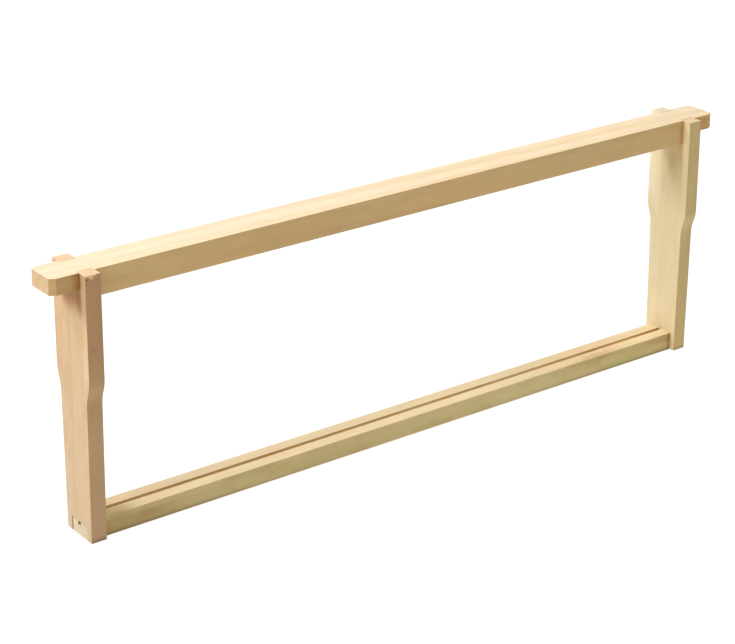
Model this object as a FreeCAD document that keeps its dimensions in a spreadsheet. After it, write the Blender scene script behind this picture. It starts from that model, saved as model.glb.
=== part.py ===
# A frame for a beehive: a grooved top bar with lugs that hang on the hive's rebate, two side
# bars with wide heads that space the frame from its neighbours, and a grooved bottom bar.
# Eight brads hold the joints.
#
# X runs along the bars, Y from the front face to the back one, Z up. The origin is at the
# middle of the frame, on the plane that its feet stand on. All sizes are in millimetres.

import FreeCAD, Part

import math
import os

import Sketcher

DRIVING = {
    # the whole frame
    "bar_length": 482.6,      # top bar, end to end
    "frame_height": 159.0,
    "outer_span": 448.6,      # over the outer faces of the side bars
    # side bars
    "side_thick": 9.5,
    "head_width": 35.0,       # the part that touches the next frame
    "waist_width": 28.2,      # just below the curved shoulder
    "foot_width": 26.0,
    "shoulder_top": 98.5,     # height where the head starts to curve in
    "shoulder_low": 82.0,     # height where the curve meets the waist
    # top bar
    "bar_width": 22.2,
    "bar_thick": 15.5,
    "lug_thick": 9.5,
    "neck_thick": 9.3,        # a little less than the lug, which hooks over the side bar
    "neck_width": 17.6,       # between the notches that the prongs sit in
    "fork_gap": 18.2,         # between the prongs
    "notch_play": 0.2,        # room for the side bar along the neck
    "lug_cut": 3.5,           # off each corner of a lug, along the bar
    "lug_nip": 2.1,           # the same cut, across the bar
    # bottom bar
    "rail_width": 19.0,
    "rail_height": 11.6,
    "tenon_height": 8.2,
    "tenon_width": 15.1,
    "mortise_width": 16.0,
    "mortise_height": 8.4,
    # grooves for the edge of the wax foundation
    "groove_width": 3.0,
    "groove_depth": 5.6,
    # brads
    "brad_radius": 0.6,
    "brad_head_radius": 0.95,
    "brad_head_height": 0.6,
    "fork_brad_length": 20.0,
    "lug_brad_length": 25.0,
    "bottom_brad_length": 20.0,
    "brad_spread": 4.5,       # of the pair under each end, from the middle plane
    "lug_brad_offset": 5.5,   # to the back, clear of the groove under the top bar
}

DERIVED = {
    "tip_x": "=bar_length / 2",
    "outer_x": "=outer_span / 2",
    "inner_x": "=outer_span / 2 - side_thick",
    "notch_x": "=outer_span / 2 + notch_play",
    "cut_x": "=bar_length / 2 - lug_cut",
    "brad_x": "=(outer_span - side_thick) / 2",
    "bar_half": "=bar_width / 2",
    "cut_y": "=bar_width / 2 - lug_nip",
    "neck_half": "=neck_width / 2",
    "fork_half": "=fork_gap / 2",
    "head_half": "=head_width / 2",
    "waist_half": "=waist_width / 2",
    "foot_half": "=foot_width / 2",
    "middle_half": "=(head_width + waist_width) / 4",
    "middle_z": "=(shoulder_top + shoulder_low) / 2",
    "curve_step": "=(head_width - waist_width) / 2",
    "curve_rise": "=shoulder_top - shoulder_low",
    "curve_radius": "=(curve_rise * curve_rise + curve_step * curve_step) / (4 * curve_step)",
    "lug_low_z": "=frame_height - lug_thick",
    "seat_z": "=frame_height - neck_thick",
    "bar_low_z": "=frame_height - bar_thick",
    "bar_groove_z": "=frame_height - bar_thick + groove_depth",
    "rail_groove_z": "=rail_height - groove_depth",
    "fork_brad_z": "=frame_height - neck_thick / 2",
    "lug_brad_z": "=frame_height - (bar_thick + lug_thick) / 2",
    "rail_half": "=rail_width / 2",
    "mortise_half": "=mortise_width / 2",
    "tenon_back": "=tenon_width - mortise_width / 2",
    "groove_half": "=groove_width / 2",
}

ZERO = "0"

doc = FreeCAD.newDocument("hive_frame")
sheet = doc.addObject("Spreadsheet::Sheet", "dims")


def fill_sheet():
    """Writes the driving sizes as plain numbers and the sizes worked out from them as formulas."""
    for row, (alias, amount) in enumerate({**DRIVING, **DERIVED}.items(), start=1):
        sheet.set(f"A{row}", alias)
        sheet.set(f"B{row}", str(amount))
        sheet.setAlias(f"B{row}", alias)
    doc.recompute()


def size(name):
    """The sheet's value for a name, for its negative when the name starts with a minus."""
    if name == ZERO:
        return 0.0
    if name.startswith("-"):
        return -float(sheet.get(name[1:]))
    return float(sheet.get(name))


def bind(thing, prop, name):
    """Ties a property to a cell, or to its negative."""
    sign = "-" if name.startswith("-") else ""
    thing.setExpression(prop, f"{sign}dims.{name.lstrip('-')}")


def pin(sketch, kind, index, end, name):
    """Holds one coordinate of a sketch point at the size that a cell gives."""
    axis = {"DistanceX": -2, "DistanceY": -1}[kind]
    if name == ZERO:
        sketch.addConstraint(Sketcher.Constraint("PointOnObject", index, end, axis))
        return
    ends = (index, end, -1, 1) if name.startswith("-") else (-1, 1, index, end)
    number = sketch.addConstraint(Sketcher.Constraint(kind, *ends, abs(size(name))))
    sketch.setExpression(f"Constraints[{number}]", f"dims.{name.lstrip('-')}")


def arc_between(start, end, centre, clockwise):
    """An arc from start to end round centre."""
    first, last = (end, start) if clockwise else (start, end)
    radius = start.distanceToPoint(centre)
    circle = Part.Circle(centre, FreeCAD.Vector(0, 0, 1), radius)
    angles = [math.atan2(p.y - centre.y, p.x - centre.x) for p in (first, last)]
    if angles[1] < angles[0]:
        angles[1] += 2 * math.pi
    return Part.ArcOfCircle(circle, *angles)


def draw(sketch, corners):
    """Draws one closed outline in a sketch.

    Each corner is (u, v) for a straight edge to the next corner, or (u, v, centre_u, centre_v,
    clockwise) for an arc of curve_radius to it. A corner's own place is given by names of cells
    and an arc's centre by lengths.
    """
    points = [FreeCAD.Vector(size(c[0]), size(c[1]), 0) for c in corners]
    begins = []
    ends = []
    for here, corner in enumerate(corners):
        start, end = points[here], points[(here + 1) % len(points)]
        if len(corner) == 2:
            index = sketch.addGeometry(Part.LineSegment(start, end), False)
            begins.append((index, 1))
            ends.append((index, 2))
            continue
        centre_x, centre_y, clockwise = corner[2:]
        centre = FreeCAD.Vector(centre_x, centre_y, 0)
        index = sketch.addGeometry(arc_between(start, end, centre, clockwise), False)
        begins.append((index, 2 if clockwise else 1))
        ends.append((index, 1 if clockwise else 2))
        number = sketch.addConstraint(
            Sketcher.Constraint("Radius", index, size("curve_radius"))
        )
        sketch.setExpression(f"Constraints[{number}]", "dims.curve_radius")
    for here, corner in enumerate(corners):
        following = (here + 1) % len(corners)
        joined = Sketcher.Constraint("Coincident", *ends[here], *begins[following])
        sketch.addConstraint(joined)
        pin(sketch, "DistanceX", *begins[here], corner[0])
        pin(sketch, "DistanceY", *begins[here], corner[1])


def sketch_on(body, plane, name, outlines):
    """A sketch of closed outlines on one of a body's own origin planes."""
    support = [f for f in body.Origin.OriginFeatures if f.Role == plane][0]
    sketch = body.newObject("Sketcher::SketchObject", name)
    sketch.AttachmentSupport = [(support, "")]
    sketch.MapMode = "FlatFace"
    for corners in outlines:
        draw(sketch, corners)
    doc.recompute()
    return sketch


def pad(body, sketch, length):
    """A pad of a sketch, half to each side of its plane."""
    feature = body.newObject("PartDesign::Pad", sketch.Name + "_pad")
    feature.Profile = sketch
    feature.Midplane = True
    bind(feature, "Length", length)
    doc.recompute()
    return feature


def cut(body, sketch, symmetric):
    """Cuts a sketch right through the body: both ways, or else along the sketch's normal."""
    before = body.Shape.Volume
    feature = body.newObject("PartDesign::Pocket", sketch.Name + "_cut")
    feature.Profile = sketch
    feature.Type = "ThroughAll"
    if symmetric:
        feature.Midplane = True
    else:
        feature.Reversed = True
    doc.recompute()
    if not body.Shape.Volume < before:
        raise RuntimeError(f"{feature.Name} cuts nothing")
    return feature


def rectangle(left, right, low, high):
    """The corners of a rectangle, from cell names."""
    return [(left, low), (right, low), (right, high), (left, high)]


def new_body(name):
    """An empty body."""
    body = doc.addObject("PartDesign::Body", name)
    body.Label = name
    return body


def top_bar_blank():
    """The top bar: thick between the side bars, with necks for the forks and a lug at each end."""
    body = new_body("top_bar_blank")
    side_view = [
        ("-tip_x", "lug_low_z"),
        ("-notch_x", "lug_low_z"),
        ("-notch_x", "seat_z"),
        ("-inner_x", "seat_z"),
        ("-inner_x", "bar_low_z"),
        ("inner_x", "bar_low_z"),
        ("inner_x", "seat_z"),
        ("notch_x", "seat_z"),
        ("notch_x", "lug_low_z"),
        ("tip_x", "lug_low_z"),
        ("tip_x", "frame_height"),
        ("-tip_x", "frame_height"),
    ]
    pad(body, sketch_on(body, "XZ_Plane", "top_bar_side_view", [side_view]), "bar_width")
    notches = [
        rectangle("inner_x", "notch_x", "neck_half", "bar_half"),
        rectangle("inner_x", "notch_x", "-bar_half", "-neck_half"),
        rectangle("-notch_x", "-inner_x", "neck_half", "bar_half"),
        rectangle("-notch_x", "-inner_x", "-bar_half", "-neck_half"),
    ]
    cut(body, sketch_on(body, "XY_Plane", "neck_notches", notches), symmetric=False)
    corners = [
        [("cut_x", "-bar_half"), ("tip_x", "-bar_half"), ("tip_x", "-cut_y")],
        [("-tip_x", "-bar_half"), ("-cut_x", "-bar_half"), ("-tip_x", "-cut_y")],
        [("tip_x", "bar_half"), ("cut_x", "bar_half"), ("tip_x", "cut_y")],
        [("-cut_x", "bar_half"), ("-tip_x", "bar_half"), ("-tip_x", "cut_y")],
    ]
    cut(body, sketch_on(body, "XY_Plane", "lug_corners", corners), symmetric=False)
    groove = [rectangle("-groove_half", "groove_half", "bar_low_z", "bar_groove_z")]
    cut(body, sketch_on(body, "YZ_Plane", "top_groove", groove), symmetric=True)
    return body


def bottom_bar_blank():
    """The bottom bar: grooved along its top, with a shouldered tenon at each end."""
    body = new_body("bottom_bar_blank")
    side_view = [
        ("-outer_x", ZERO),
        ("outer_x", ZERO),
        ("outer_x", "tenon_height"),
        ("inner_x", "tenon_height"),
        ("inner_x", "rail_height"),
        ("-inner_x", "rail_height"),
        ("-inner_x", "tenon_height"),
        ("-outer_x", "tenon_height"),
    ]
    pad(body, sketch_on(body, "XZ_Plane", "bottom_bar_side_view", [side_view]), "rail_width")
    cheeks = [
        rectangle("inner_x", "outer_x", "tenon_back", "rail_half"),
        rectangle("inner_x", "outer_x", "-rail_half", "-mortise_half"),
        rectangle("-outer_x", "-inner_x", "tenon_back", "rail_half"),
        rectangle("-outer_x", "-inner_x", "-rail_half", "-mortise_half"),
    ]
    cut(body, sketch_on(body, "XY_Plane", "tenon_cheeks", cheeks), symmetric=False)
    groove = [rectangle("-groove_half", "groove_half", "rail_groove_z", "rail_height")]
    cut(body, sketch_on(body, "YZ_Plane", "bottom_groove", groove), symmetric=True)
    return body


def side_bar_outline():
    """The side bar seen along X: a fork at the top, a curved shoulder, a mortise at the foot."""
    radius = size("curve_radius")
    waist_centre = (size("waist_half") + radius, size("shoulder_low"))
    head_centre = (size("head_half") - radius, size("shoulder_top"))
    return [
        ("-foot_half", ZERO),
        ("-mortise_half", ZERO),
        ("-mortise_half", "mortise_height"),
        ("mortise_half", "mortise_height"),
        ("mortise_half", ZERO),
        ("foot_half", ZERO),
        ("waist_half", "shoulder_low", *waist_centre, True),
        ("middle_half", "middle_z", *head_centre, False),
        ("head_half", "shoulder_top"),
        ("head_half", "frame_height"),
        ("fork_half", "frame_height"),
        ("fork_half", "seat_z"),
        ("-fork_half", "seat_z"),
        ("-fork_half", "frame_height"),
        ("-head_half", "frame_height"),
        ("-head_half", "shoulder_top", -head_centre[0], head_centre[1], False),
        ("-middle_half", "middle_z", -waist_centre[0], waist_centre[1], True),
        ("-waist_half", "shoulder_low"),
    ]


def side_bar_blank(name, place):
    """A side bar, its middle plane carried along X to the cell that place names."""
    body = new_body(name)
    pad(body, sketch_on(body, "YZ_Plane", name + "_face", [side_bar_outline()]), "side_thick")
    bind(body, "Placement.Base.x", place)
    return body


def brad(name, length, place, axis, angle):
    """A brad with its head at the body's origin and its point at +Z before it is turned."""
    body = new_body(name)
    profile = sketch_on(body, "XZ_Plane", name + "_profile", [[
        (ZERO, ZERO),
        ("brad_head_radius", ZERO),
        ("brad_head_radius", "brad_head_height"),
        ("brad_radius", "brad_head_height"),
        ("brad_radius", length),
        (ZERO, length),
    ]])
    turned = body.newObject("PartDesign::Revolution", name + "_turned")
    turned.Profile = profile
    turned.ReferenceAxis = (profile, ["V_Axis"])
    turned.Angle = 360
    body.Placement = FreeCAD.Placement(FreeCAD.Vector(), FreeCAD.Rotation(axis, angle))
    for letter, cell in zip("xyz", place):
        if cell != ZERO:
            bind(body, f"Placement.Base.{letter}", cell)
    doc.recompute()
    return body


def drilled(name, blank, brads):
    """The finished timber: the blank less the holes that its brads fill."""
    tools = doc.addObject("Part::Compound", name + "_holes")
    tools.Links = brads
    piece = doc.addObject("Part::Cut", name)
    piece.Base = blank
    piece.Tool = tools
    piece.Label = name
    doc.recompute()
    if not piece.Shape.Volume < blank.Shape.Volume:
        raise RuntimeError(f"the brads miss {name}")
    return piece


def brads_of(side, sign):
    """The brads at one end: those that enter the top bar, then those that enter the bottom bar.

    One goes forwards through the back prong of the fork into the neck, one goes under the lug
    into the end of the top bar's thick part, and two go up through the tenon.
    """
    x_axis = FreeCAD.Vector(1, 0, 0)
    y_axis = FreeCAD.Vector(0, 1, 0)
    forwards = 90
    inward = 90 if sign == "-" else -90
    upper = [
        brad(f"{side}_fork_brad", "fork_brad_length",
             (sign + "brad_x", "head_half", "fork_brad_z"), x_axis, forwards),
        brad(f"{side}_lug_brad", "lug_brad_length",
             (sign + "outer_x", "lug_brad_offset", "lug_brad_z"), y_axis, inward),
    ]
    lower = [
        brad(f"{side}_bottom_brad_{place}", "bottom_brad_length",
             (sign + "brad_x", offset, ZERO), x_axis, 0)
        for place, offset in (("front", "-brad_spread"), ("back", "brad_spread"))
    ]
    return upper, lower


def write_steps(pieces):
    """Checks the whole document, then writes each piece to its own file."""
    for thing in doc.Objects:
        if {"Invalid", "Error"} & set(thing.State):
            raise RuntimeError(f"{thing.Name} failed: {thing.State}")
    for piece in pieces:
        if piece.Shape.isNull() or not piece.Shape.isValid():
            raise RuntimeError(f"{piece.Label} has no valid shape")
        if len(piece.Shape.Solids) != 1:
            raise RuntimeError(f"{piece.Label} is not one solid")
    os.makedirs("parts", exist_ok=True)
    for piece in pieces:
        piece.Shape.exportStep(f"parts/{piece.Label}.step")


fill_sheet()
top_blank = top_bar_blank()
bottom_blank = bottom_bar_blank()
pieces = []
top_brads = []
bottom_brads = []
for side, sign in (("left", "-"), ("right", "")):
    upper, lower = brads_of(side, sign)
    side_blank = side_bar_blank(f"{side}_side_bar_blank", sign + "brad_x")
    pieces.append(drilled(f"{side}_side_bar", side_blank, upper + lower))
    pieces += upper + lower
    top_brads += upper
    bottom_brads += lower
pieces.append(drilled("top_bar", top_blank, top_brads))
pieces.append(drilled("bottom_bar", bottom_blank, bottom_brads))
write_steps(pieces)
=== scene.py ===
# Looks for a wooden hive frame: bare planed softwood bars with a few steel brads, standing on a
# white light table. The axes are the frame's own: X along the bars, Y from front to back, Z up.
# Places on the bars are in millimetres; Blender's own lengths are in metres.
import math

import bpy
from mathutils import Matrix, Vector


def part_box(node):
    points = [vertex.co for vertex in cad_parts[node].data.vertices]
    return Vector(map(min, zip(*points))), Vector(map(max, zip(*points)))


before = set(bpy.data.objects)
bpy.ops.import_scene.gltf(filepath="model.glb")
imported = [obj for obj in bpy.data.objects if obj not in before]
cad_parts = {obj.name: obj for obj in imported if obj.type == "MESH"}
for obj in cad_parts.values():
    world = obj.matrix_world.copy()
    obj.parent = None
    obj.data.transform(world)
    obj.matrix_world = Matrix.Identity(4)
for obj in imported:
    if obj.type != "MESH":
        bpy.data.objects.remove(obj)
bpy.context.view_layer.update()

MM = 0.001
AXES = {"X": (1.0, 0.0, 0.0), "Y": (0.0, 1.0, 0.0), "Z": (0.0, 0.0, 1.0)}


def box_mm(node):
    """The lowest and highest corners of a node, in millimetres."""
    return [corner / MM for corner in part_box(node)]


# planes that the marks on the wood are placed from
side_low, side_high = box_mm("right_side_bar")
INNER_X = side_low.x           # the side bars' inner faces, from the middle
OUTER_X = side_high.x          # and their outer faces
FRONT_Y = side_low.y           # the heads' front faces
TOP_Z = side_high.z            # the top of the frame
RAIL_Z = box_mm("bottom_bar")[1].z


def rgb(red, green, blue):
    """A linear colour for a socket."""
    return (red, green, blue, 1.0)


class Shader:
    """Short ways to add shader nodes to a material and join them.

    place is the point that is shaded in metres, here the same in millimetres, and x, y and z are
    its parts in millimetres.
    """

    def __init__(self, name):
        self.material = bpy.data.materials.new(name)
        self.material.use_nodes = True
        self.tree = self.material.node_tree
        self.surface = self.tree.nodes["Principled BSDF"]
        self.place = self.add("ShaderNodeTexCoord").outputs["Object"]
        self.here = self.vector("DIVIDE", self.place, (MM, MM, MM))
        self.x, self.y, self.z = self.split(self.here)
        self.normal = self.add("ShaderNodeNewGeometry").outputs["Normal"]

    def add(self, kind, inputs=None, **settings):
        """Adds a node; inputs maps a socket's name or number to a value or to another socket."""
        made = self.tree.nodes.new(kind)
        for key, setting in settings.items():
            setattr(made, key, setting)
        for key, given in (inputs or {}).items():
            self.feed(made.inputs[key], given)
        return made

    def feed(self, socket, given):
        """Links a socket or sets its value."""
        if isinstance(given, bpy.types.NodeSocket):
            self.tree.links.new(given, socket)
        else:
            socket.default_value = given

    def math(self, operation, *given):
        return self.add("ShaderNodeMath", dict(enumerate(given)), operation=operation).outputs[0]

    def vector(self, operation, *given):
        made = self.add("ShaderNodeVectorMath", dict(enumerate(given)), operation=operation)
        return made.outputs["Value" if operation in ("LENGTH", "DOT_PRODUCT") else "Vector"]

    def split(self, vector):
        return list(self.add("ShaderNodeSeparateXYZ", {0: vector}).outputs)

    def join(self, x, y, z):
        return self.add("ShaderNodeCombineXYZ", {0: x, 1: y, 2: z}).outputs[0]

    def noise(self, vector, scale, detail=2.0, roughness=0.5):
        """A noise between 0 and 1, and the same as a colour."""
        inputs = {"Vector": vector, "Scale": scale, "Detail": detail, "Roughness": roughness}
        made = self.add("ShaderNodeTexNoise", inputs)
        return made.outputs["Fac"], made.outputs["Color"]

    def centred(self, vector):
        """A noise colour moved to lie about zero."""
        return self.vector("SUBTRACT", vector, (0.5, 0.5, 0.5))

    def band(self, value, low, high):
        """0 at low and 1 at high, smooth between and flat beyond."""
        inputs = {"Value": value, "From Min": low, "From Max": high}
        made = self.add("ShaderNodeMapRange", inputs, interpolation_type="SMOOTHSTEP")
        return made.outputs["Result"]

    def both(self, *masks):
        """The product of masks."""
        result = masks[0]
        for mask in masks[1:]:
            result = self.math("MULTIPLY", result, mask)
        return result

    def mix(self, amount, first, second, blend="MIX"):
        made = self.add("ShaderNodeMix", data_type="RGBA", blend_type=blend)
        for number, given in ((0, amount), (6, first), (7, second)):
            self.feed(made.inputs[number], given)
        return made.outputs[2]

    def facing(self, axis, sign):
        """1 on the faces that look along an axis, 0 on those turned 60 degrees or more away."""
        turned = self.vector("DOT_PRODUCT", self.normal, [sign * part for part in AXES[axis]])
        return self.band(turned, 0.5, 0.8)

    def spot(self, centre, reach):
        """1 at a place, falling to 0 with a ragged edge at the distance reach along each axis."""
        there = self.vector("DIVIDE", self.vector("SUBTRACT", self.here, centre), reach)
        ragged = self.centred(self.noise(self.place, 300.0)[1])
        return self.band(self.vector("LENGTH", self.vector("ADD", there, ragged)), 1.0, 0.2)

    def tint(self, mask, *shade):
        """Multiplies the material's colour by a shade where the mask says."""
        shaded = self.mix(1.0, self.colour, rgb(*shade), blend="MULTIPLY")
        self.colour = self.mix(mask, self.colour, shaded)

    def vary(self, noise, spread):
        """Darkens and lightens the material's colour with a noise, by half of spread each way."""
        amount = self.math("MULTIPLY_ADD", noise, spread, 1.0 - spread / 2)
        grey = self.join(amount, amount, amount)
        self.colour = self.mix(1.0, self.colour, grey, blend="MULTIPLY")

    def finished(self):
        """Joins the colour up and returns the material."""
        self.feed(self.surface.inputs["Base Color"], self.colour)
        return self.material


EARLY = (0.70, 0.50, 0.30)     # pale wood grown in spring
LATE = (0.56, 0.35, 0.18)      # darker wood grown in summer
LATE_STRENGTH = 0.30           # how much of the darker wood shows in the strongest years
RING_WANDER = 6.0 * MM         # how far the rings stray from true circles


def softwood(name, grain, pith, ring, lean, seed):
    """Planed softwood: growth rings round a pith line, mottle, fibres, and darker end grain.

    grain is the axis letter; pith a point on the ring centre's line and ring the width of a
    year, in millimetres; lean how far the rings drift sideways along the bar, as a slope.
    """
    s = Shader(name)
    along = AXES[grain]
    across = [1.0 - part for part in along]
    length = s.vector("DOT_PRODUCT", s.place, along)
    figure = s.vector("ADD", s.place, s.vector("MULTIPLY", s.join(length, length, length), lean))

    def stretched(times, shift):
        """The figure's space drawn out along the grain, moved on so that no two bars match."""
        drawn = s.vector("MULTIPLY", figure, [1 / times if part else 1.0 for part in along])
        return s.vector("ADD", drawn, (seed + shift, seed, seed))

    # growth rings: each year turns slowly from early to late wood and back at once
    drift = s.centred(s.noise(stretched(25, 0.1), 45.0)[1])
    drift = s.vector("MULTIPLY", drift, (RING_WANDER, RING_WANDER, RING_WANDER))
    spoke = s.vector("SUBTRACT", s.vector("ADD", figure, drift), [part * MM for part in pith])
    radius = s.vector("LENGTH", s.vector("MULTIPLY", spoke, across))
    years = s.math("DIVIDE", radius, ring * MM)
    phase = s.math("FRACT", years)
    year = s.math("ADD", s.math("FLOOR", years), seed)
    strength = s.add("ShaderNodeTexWhiteNoise", {"W": year}, noise_dimensions="1D").outputs["Value"]
    strength = s.math("POWER", strength, 2.0)
    dense = s.both(s.band(phase, 0.2, 0.92), s.band(phase, 1.0, 0.94), strength)
    s.colour = s.mix(s.math("MULTIPLY", dense, LATE_STRENGTH), rgb(*EARLY), rgb(*LATE))

    # broad patches, warmer streaks, small mottle, and fibres
    s.vary(s.noise(stretched(8, 0.2), 25.0, detail=1.0)[0], 0.24)
    streaks = s.noise(stretched(5, 0.3), 40.0)[0]
    s.tint(s.band(streaks, 0.35, 0.65), 1.02, 0.98, 0.94)
    s.vary(s.noise(stretched(4, 0.4), 170.0, detail=3.0)[0], 0.22)
    fibres = s.noise(stretched(50, 0.5), 1500.0, detail=3.0, roughness=0.6)[0]
    s.vary(fibres, 0.12)

    # sawn ends soak up light between their fibres
    end = s.math("ADD", s.facing(grain, 1), s.facing(grain, -1))
    pores = s.noise(s.place, 2200.0)[0]
    s.tint(end, 0.90, 0.86, 0.80)
    s.tint(s.both(end, s.band(pores, 0.52, 0.70)), 0.84, 0.80, 0.76)

    # the fibres stand up a little, late wood a little more, and sawn ends are rough
    relief = s.math("MULTIPLY_ADD", fibres, 0.6, s.math("MULTIPLY", dense, 0.3))
    relief = s.math("MULTIPLY_ADD", s.both(pores, end), 0.8, relief)
    bump = s.add("ShaderNodeBump", {"Strength": 0.25, "Distance": 0.25 * MM, "Height": relief})
    s.feed(s.surface.inputs["Normal"], bump.outputs["Normal"])
    rough = s.math("MULTIPLY_ADD", fibres, 0.15, 0.50)
    s.feed(s.surface.inputs["Roughness"], s.math("MULTIPLY_ADD", end, 0.15, rough))
    s.feed(s.surface.inputs["Specular IOR Level"], 0.35)
    return s


def top_bar_wood():
    s = softwood("top_bar_softwood", "X", pith=(0.0, -75.0, 100.0), ring=6.0,
                 lean=(0.0, 0.024, 0.006), seed=1.0)
    top = s.facing("Z", 1)
    front = s.facing("Y", -1)
    # painted light and shade: a painted highlight makes the top paler and bluer, painted shade
    # makes the front darker and yellower, the back gets a milder copy of it, and the lug end facing
    # -X is darker
    s.tint(top, 1.16, 1.30, 1.40)
    s.tint(front, 0.96, 0.92, 0.64)
    s.tint(s.facing("Y", 1), 0.99, 1.03, 0.88)
    s.tint(s.facing("X", -1), 0.91, 0.92, 0.90)
    # one long bent line parts the rosy front strip from a yellower strip at the back
    bend = s.math("MULTIPLY_ADD", s.x, -0.022, 3.2)
    bend = s.math("SUBTRACT", bend, s.math("MULTIPLY", s.math("MULTIPLY", s.x, s.x), 0.00004))
    behind = s.math("SUBTRACT", s.y, bend)
    s.tint(s.both(top, s.band(behind, -0.8, 0.8)), 0.985, 0.96, 0.90)
    line = s.both(s.band(behind, -0.8, 0.1), s.band(behind, 2.2, 0.3))
    s.tint(s.both(top, line, s.band(s.x, -250.0, 100.0)), 0.93, 0.86, 0.72)
    s.tint(s.both(top, s.band(s.y, 4.0, 9.0)), 1.0, 1.02, 1.10)
    s.tint(s.both(top, s.band(s.y, -4.0, -8.0)), 1.0, 0.96, 0.87)
    # the lugs' fronts are browner, and painted shade darkens the left lug's front beside its prong
    # and the bar's front where it meets the right side bar, which is also redder
    left_lug = s.both(front, s.band(s.x, 0.7 - OUTER_X, -0.1 - OUTER_X))
    s.tint(left_lug, 0.83, 0.75, 0.72)
    s.tint(s.both(left_lug, s.band(s.x, -5.7 - OUTER_X, -0.2 - OUTER_X)), 0.80, 0.66, 0.58)
    s.tint(s.both(front, s.band(s.x, OUTER_X - 0.7, OUTER_X + 0.1)), 0.97, 0.82, 0.60)
    right_end = s.both(s.band(s.x, INNER_X - 2.6, INNER_X - 0.8),
                       s.band(s.x, OUTER_X - 1.3, OUTER_X - 4.3))
    s.tint(s.both(front, right_end), 0.90, 0.74, 0.66)
    return s.finished()


def side_bar_wood(name, node, pith_out, seed):
    """A side bar's wood, with a painted highlight on its tops; pith_out is how far along X the pith
    lies from its middle.
    """
    low, high = box_mm(node)
    s = softwood(name, "Z", pith=((low.x + high.x) / 2 + pith_out, 85.0, 0.0), ring=5.5,
                 lean=(0.01, 0.02, 0.0), seed=seed)
    # painted highlight: the tops are paler
    s.tint(s.facing("Z", 1), 1.26, 1.18, 1.26)
    return s


def left_side_wood():
    s = side_bar_wood("left_side_bar_softwood", "left_side_bar", -60.0, 2.0)
    front = s.facing("Y", -1)
    side = s.facing("X", -1)
    high = s.band(s.z, 60.0, 120.0)
    # painted light and shade: the outer face is darker and warmer high up, the front darker and
    # browner, more so high up, and the back gets a milder copy of the front's shade colour
    s.tint(side, 0.78, 0.79, 0.77)
    s.tint(s.both(side, high), 1.0, 0.97, 0.90)
    s.tint(front, 0.76, 0.67, 0.55)
    s.tint(s.both(front, high), 0.92, 0.83, 0.76)
    s.tint(s.facing("Y", 1), 0.99, 1.03, 0.88)
    # soft clouds and a rosy and a pale strip on the outer face
    cloud = s.noise(s.vector("MULTIPLY", s.place, (1.0, 1.0, 0.5)), 90.0, detail=3.0)[0]
    s.tint(s.both(side, s.band(cloud, 0.48, 0.68)), 0.95, 0.92, 0.88)
    s.tint(s.both(side, s.band(s.y, 8.0, 10.0), high), 1.04, 0.97, 0.98)
    strip = s.both(side, s.band(s.y, -11.5, -13.8))
    strip = s.both(strip, s.band(s.z, 92.0, 102.0), s.band(s.z, 138.0, 126.0))
    s.tint(strip, 1.18, 1.14, 1.14)
    # painted shade under the lug and beside it, darkest in the corner by the prong
    under = s.both(side, s.band(s.z, 130.0, 142.5), s.band(s.y, -13.0, -11.2))
    s.tint(s.both(under, s.band(s.y, 9.5, 6.0)), 0.68, 0.50, 0.31)
    s.tint(s.both(under, s.band(s.y, -5.5, -9.5)), 0.79, 0.67, 0.52)
    beside = s.both(side, s.band(s.z, 130.0, 141.0), s.band(s.y, -11.0, -12.6))
    s.tint(beside, 0.86, 0.80, 0.76)
    s.tint(s.both(beside, s.band(s.y, -15.0, -12.5)), 0.84, 0.78, 0.70)
    # a small knot in the head's front
    knot = s.spot((-220.6, -16.5, 116.8), (1.8, 10.0, 3.0))
    s.tint(s.both(front, knot), 0.82, 0.76, 0.70)
    # torn fibres along the front edge of the prong's top, drawn as a ragged painted highlight, with
    # painted shade in a hollow under them
    teeth = s.math("MULTIPLY_ADD", s.noise(s.place, 700.0)[0], 7.0, -1.5)
    torn = s.band(s.math("ADD", s.z, teeth), TOP_Z - 0.2, TOP_Z + 0.2)
    torn = s.both(front, torn, s.band(s.x, -2.0 - INNER_X, -3.4 - INNER_X))
    s.tint(torn, 1.75, 1.95, 2.1)
    hollow = s.spot((1.5 - OUTER_X, FRONT_Y, TOP_Z - 2.2), (1.6, 10.0, 1.8))
    s.tint(s.both(front, hollow), 0.62, 0.52, 0.45)
    # painted shade along the foot's lower edge, and painted shade on the wall behind the tenon
    s.tint(s.both(front, s.band(s.z, 3.4, 0.8)), 0.66, 0.65, 0.64)
    s.tint(s.both(front, s.band(s.y, 6.0, 7.0), s.band(s.z, 10.0, 9.0)), 0.45, 0.42, 0.38)
    return s.finished()


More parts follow.
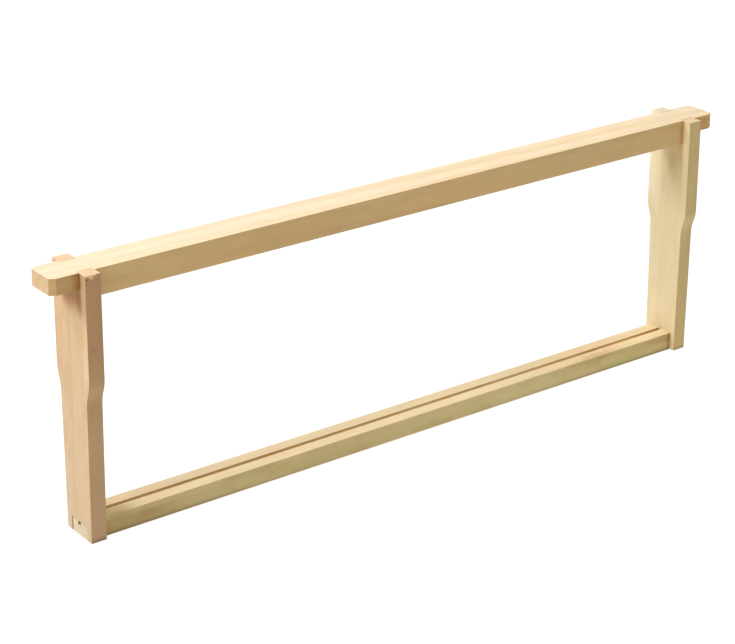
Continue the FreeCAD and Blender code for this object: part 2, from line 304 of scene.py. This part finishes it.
def right_side_wood():
    s = side_bar_wood("right_side_bar_softwood", "right_side_bar", 60.0, 3.0)
    front = s.facing("Y", -1)
    side = s.facing("X", -1)
    high = s.band(s.z, 90.0, 112.0)
    s.tint(1.0, 0.95, 1.07, 1.00)
    # painted light and shade: the front is darker and yellower, the outer face and back get a
    # milder copy of it, and a painted highlight makes the back half of the top paler and bluer
    s.tint(front, 0.96, 0.89, 0.65)
    s.tint(s.facing("X", 1), 1.05, 0.97, 0.88)
    s.tint(s.facing("Y", 1), 1.03, 0.97, 0.88)
    s.tint(s.both(s.facing("Z", 1), s.band(s.y, 0.0, 5.0)), 0.97, 1.10, 1.30)
    # the inner face is paler towards the foot and along the back edge
    s.tint(s.both(side, s.band(s.z, 115.0, 70.0)), 1.03, 1.04, 1.06)
    s.tint(s.both(side, s.band(s.z, 45.0, 15.0)), 1.08, 1.08, 1.08)
    s.tint(s.both(side, s.band(s.y, 4.5, 7.5)), 1.02, 1.05, 1.11)
    s.tint(s.both(side, high, s.band(s.y, 4.5, 9.0)), 1.10, 1.09, 1.10)
    s.tint(s.both(side, high, s.band(s.y, 10.0, 15.5)), 1.08, 1.12, 1.25)
    # painted shadow of the top bar makes it browner below the bar, darkest towards the front
    # corner, and it is pale again along the front edge beyond that
    below = s.both(side, s.band(s.y, 4.0, -2.0), s.band(s.y, -13.2, -11.4))
    s.tint(s.both(below, s.band(s.z, 102.0, 128.0)), 0.90, 0.85, 0.71)
    corner = s.both(below, s.band(s.y, -7.0, -10.5))
    s.tint(s.both(corner, s.band(s.z, 122.0, 136.0)), 0.82, 0.82, 0.76)
    s.tint(s.both(side, high, s.band(s.y, -12.6, -14.2)), 1.07, 1.05, 1.00)
    # painted shade along the foot's lower edge
    s.tint(s.both(front, s.band(s.z, 3.0, 0.6)), 0.76, 0.73, 0.70)
    return s.finished()


def bottom_bar_wood():
    s = softwood("bottom_bar_softwood", "X", pith=(0.0, 60.0, -40.0), ring=4.0,
                 lean=(0.0, -0.01, 0.004), seed=4.0)
    front = s.facing("Y", -1)
    top = s.facing("Z", 1)
    from_middle = s.math("ABSOLUTE", s.x)
    # painted light and shade: the front is darker and yellower, the top paler, and the back a
    # milder copy of the front's shade colour
    s.tint(front, 0.94, 1.02, 0.73)
    s.tint(top, 1.05, 1.145, 1.06)
    s.tint(s.facing("Y", 1), 0.99, 1.03, 0.88)
    # a painted highlight makes the tenon end that faces -X paler and bluer than the side bars round
    # it
    s.tint(s.facing("X", -1), 0.96, 1.20, 1.50)
    # the face is pale in the middle, olive low down on the left, brown and green on the right
    middle = s.both(s.band(s.x, -50.0, 20.0), s.band(s.x, 140.0, 100.0))
    left = s.both(s.band(s.x, -150.0, -190.0), s.band(s.z, 10.0, 7.0))
    brown = s.both(s.band(s.x, 180.0, 208.0), s.band(s.z, 4.5, 9.5))
    dull = s.both(s.band(s.x, 190.0, 212.0), s.band(s.z, 6.0, 2.0))
    green = s.both(s.band(s.x, 150.0, 165.0), s.band(s.x, 197.0, 187.0), s.band(s.z, 6.5, 3.5))
    s.tint(s.both(front, middle), 1.03, 1.07, 1.14)
    s.tint(s.both(front, left), 0.80, 0.74, 0.62)
    s.tint(s.both(front, brown), 0.84, 0.73, 0.64)
    s.tint(s.both(front, dull), 0.82, 0.80, 0.72)
    s.tint(s.both(front, green), 0.90, 1.00, 0.84)
    # soft brown clouds, and painted shade where the face meets the right side bar
    cloud = s.noise(s.vector("MULTIPLY", s.place, (1.0, 1.0, 2.5)), 55.0, detail=3.0)[0]
    s.tint(s.both(front, s.band(cloud, 0.50, 0.68)), 0.92, 0.89, 0.80)
    s.tint(s.both(front, s.band(s.x, INNER_X - 3.6, INNER_X - 1.3)), 0.74, 0.64, 0.52)
    # painted shade along the lower edge, more so near the feet
    lower_edge = s.both(s.band(from_middle, 0.0, 200.0), s.band(s.z, 2.5, 0.8))
    s.tint(s.both(front, lower_edge), 0.66, 0.68, 0.64)
    # stains at the edge between the face and the top; the one by the left foot is painted shade
    s.tint(s.spot((-204.0, -8.5, 10.0), (16.0, 6.0, 3.5)), 0.86, 0.84, 0.74)
    s.tint(s.spot((145.0, -9.5, 10.5), (40.0, 4.0, 3.0)), 0.90, 0.86, 0.76)
    # stains on the top, which is duller at the back; the patch and the olive strip in front near
    # the left foot are painted shade
    s.tint(s.both(top, s.spot((150.0, -6.5, RAIL_Z), (20.0, 4.0, 10.0))), 0.86, 0.80, 0.72)
    s.tint(s.both(top, s.spot((-205.0, -6.0, RAIL_Z), (14.0, 6.0, 10.0))), 0.88, 0.84, 0.76)
    s.tint(s.both(top, s.band(s.x, 50.0, 110.0), s.band(s.x, 190.0, 165.0)), 0.95, 0.93, 0.90)
    s.tint(s.both(top, s.band(s.y, 1.0, 3.0)), 0.95, 0.95, 0.96)
    strip = s.both(top, s.band(s.y, -1.5, -2.5))
    s.tint(s.both(strip, s.band(s.x, -186.0, -202.0)), 0.84, 0.86, 0.68)
    # painted light makes the groove's back wall paler, and painted shade darkens the open gap
    # behind a tenon
    groove = s.both(s.band(s.math("ABSOLUTE", s.y), 1.9, 1.6),
                    s.band(s.z, RAIL_Z, RAIL_Z - 0.4), s.band(s.z, 4.0, 5.0))
    between = s.band(from_middle, INNER_X + 0.2, INNER_X - 0.2)
    s.tint(s.both(front, groove, between), 1.40, 1.44, 1.90)
    tenon = s.band(from_middle, INNER_X + 0.2, INNER_X + 0.5)
    s.tint(s.both(s.facing("Y", 1), tenon), 0.50, 0.46, 0.42)
    return s.finished()


def steel():
    """Wire nail steel, slightly dulled."""
    s = Shader("dull_wire_steel")
    cloud = s.noise(s.place, 900.0, detail=3.0)[0]
    s.colour = s.mix(cloud, rgb(0.50, 0.48, 0.45), rgb(0.66, 0.64, 0.60))
    s.feed(s.surface.inputs["Metallic"], 1.0)
    s.feed(s.surface.inputs["Roughness"], s.math("MULTIPLY_ADD", cloud, 0.25, 0.35))
    bump = s.add("ShaderNodeBump", {"Strength": 0.2, "Distance": 0.05 * MM, "Height": cloud})
    s.feed(s.surface.inputs["Normal"], bump.outputs["Normal"])
    return s.finished()


def dress():
    """Gives every node of the frame its material."""
    woods = {
        "top_bar": top_bar_wood(),
        "bottom_bar": bottom_bar_wood(),
        "left_side_bar": left_side_wood(),
        "right_side_bar": right_side_wood(),
    }
    wire = steel()
    for name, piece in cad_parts.items():
        piece.data.materials.clear()
        piece.data.materials.append(woods.get(name, wire))


FLOOR_SIZE = 12.0
FLOOR_DROP = 0.2 * MM          # keeps the floor clear of the feet's undersides


def light_table():
    """A plain white floor, lit a little from below, a hair under the frame's feet."""
    bpy.ops.mesh.primitive_plane_add(size=FLOOR_SIZE, location=(0, 0, -FLOOR_DROP))
    floor = bpy.context.object
    floor.name = "light_table"
    s = Shader("white_acrylic")
    cloud = s.noise(s.place, 3.0)[0]
    s.colour = s.mix(cloud, rgb(0.15, 0.15, 0.15), rgb(0.17, 0.17, 0.17))
    s.feed(s.surface.inputs["Roughness"], 0.9)
    s.feed(s.surface.inputs["Specular IOR Level"], 0.1)
    s.feed(s.surface.inputs["Emission Color"], rgb(1, 1, 1))
    s.feed(s.surface.inputs["Emission Strength"], 0.95)
    floor.data.materials.append(s.finished())


LIT_POINT = Vector((0, 0, 0.08))     # the middle of the frame, which every lamp faces
SURROUND_STRENGTH = 0.20


def area_light(name, towards, distance, width, height, power, colour, shift=0.0):
    """A soft light panel in the direction towards, facing the frame, then moved along X."""
    data = bpy.data.lights.new(name, "AREA")
    data.shape = "RECTANGLE"
    data.size = width
    data.size_y = height
    data.energy = power
    data.color = colour
    light = bpy.data.objects.new(name, data)
    heading = Vector(towards).normalized()
    light.location = LIT_POINT + heading * distance + Vector((shift, 0, 0))
    light.rotation_euler = (-heading).to_track_quat("-Z", "Y").to_euler()
    bpy.context.scene.collection.objects.link(light)


def lights():
    """A long panel above and behind, a lamp low on the left, and an even surround."""
    area_light("panel", (0.0, 0.53, 0.85), distance=2.36, width=3.2, height=0.7, power=72,
               colour=(1.0, 1.03, 1.12), shift=-0.4)
    area_light("left_lamp", (-0.88, -0.05, 0.45), distance=2.2, width=0.8, height=0.8, power=23,
               colour=(1.0, 1.02, 1.06))
    world = bpy.data.worlds.new("surround")
    bpy.context.scene.world = world
    world.use_nodes = True
    surround = world.node_tree.nodes["Background"]
    surround.inputs["Color"].default_value = rgb(1, 1, 1)
    surround.inputs["Strength"].default_value = SURROUND_STRENGTH


CAMERA_AT = (-0.7382, -0.9536, 0.5891)
CAMERA_YAW = 36.69             # degrees from +Y towards +X
CAMERA_PITCH = 19.04           # degrees downwards
CAMERA_ROLL = 0.22
SENSOR = 36.0                  # millimetres wide
LENS = 107.1                   # millimetres
LENS_DROP = 0.2204             # how far the picture hangs below the lens axis, in its widths


def camera():
    data = bpy.data.cameras.new("camera")
    data.sensor_width = SENSOR
    data.lens = LENS
    data.shift_y = -LENS_DROP
    data.clip_start = 0.05
    data.clip_end = 50.0
    made = bpy.data.objects.new("camera", data)
    turn = (
        Matrix.Rotation(math.radians(-CAMERA_YAW), 4, "Z")
        @ Matrix.Rotation(math.radians(90 - CAMERA_PITCH), 4, "X")
        @ Matrix.Rotation(math.radians(CAMERA_ROLL), 4, "Z")
    )
    made.matrix_world = Matrix.Translation(CAMERA_AT) @ turn
    bpy.context.scene.collection.objects.link(made)
    bpy.context.scene.camera = made


dress()
light_table()
lights()
camera()
bpy.context.scene.view_settings.view_transform = "Standard"
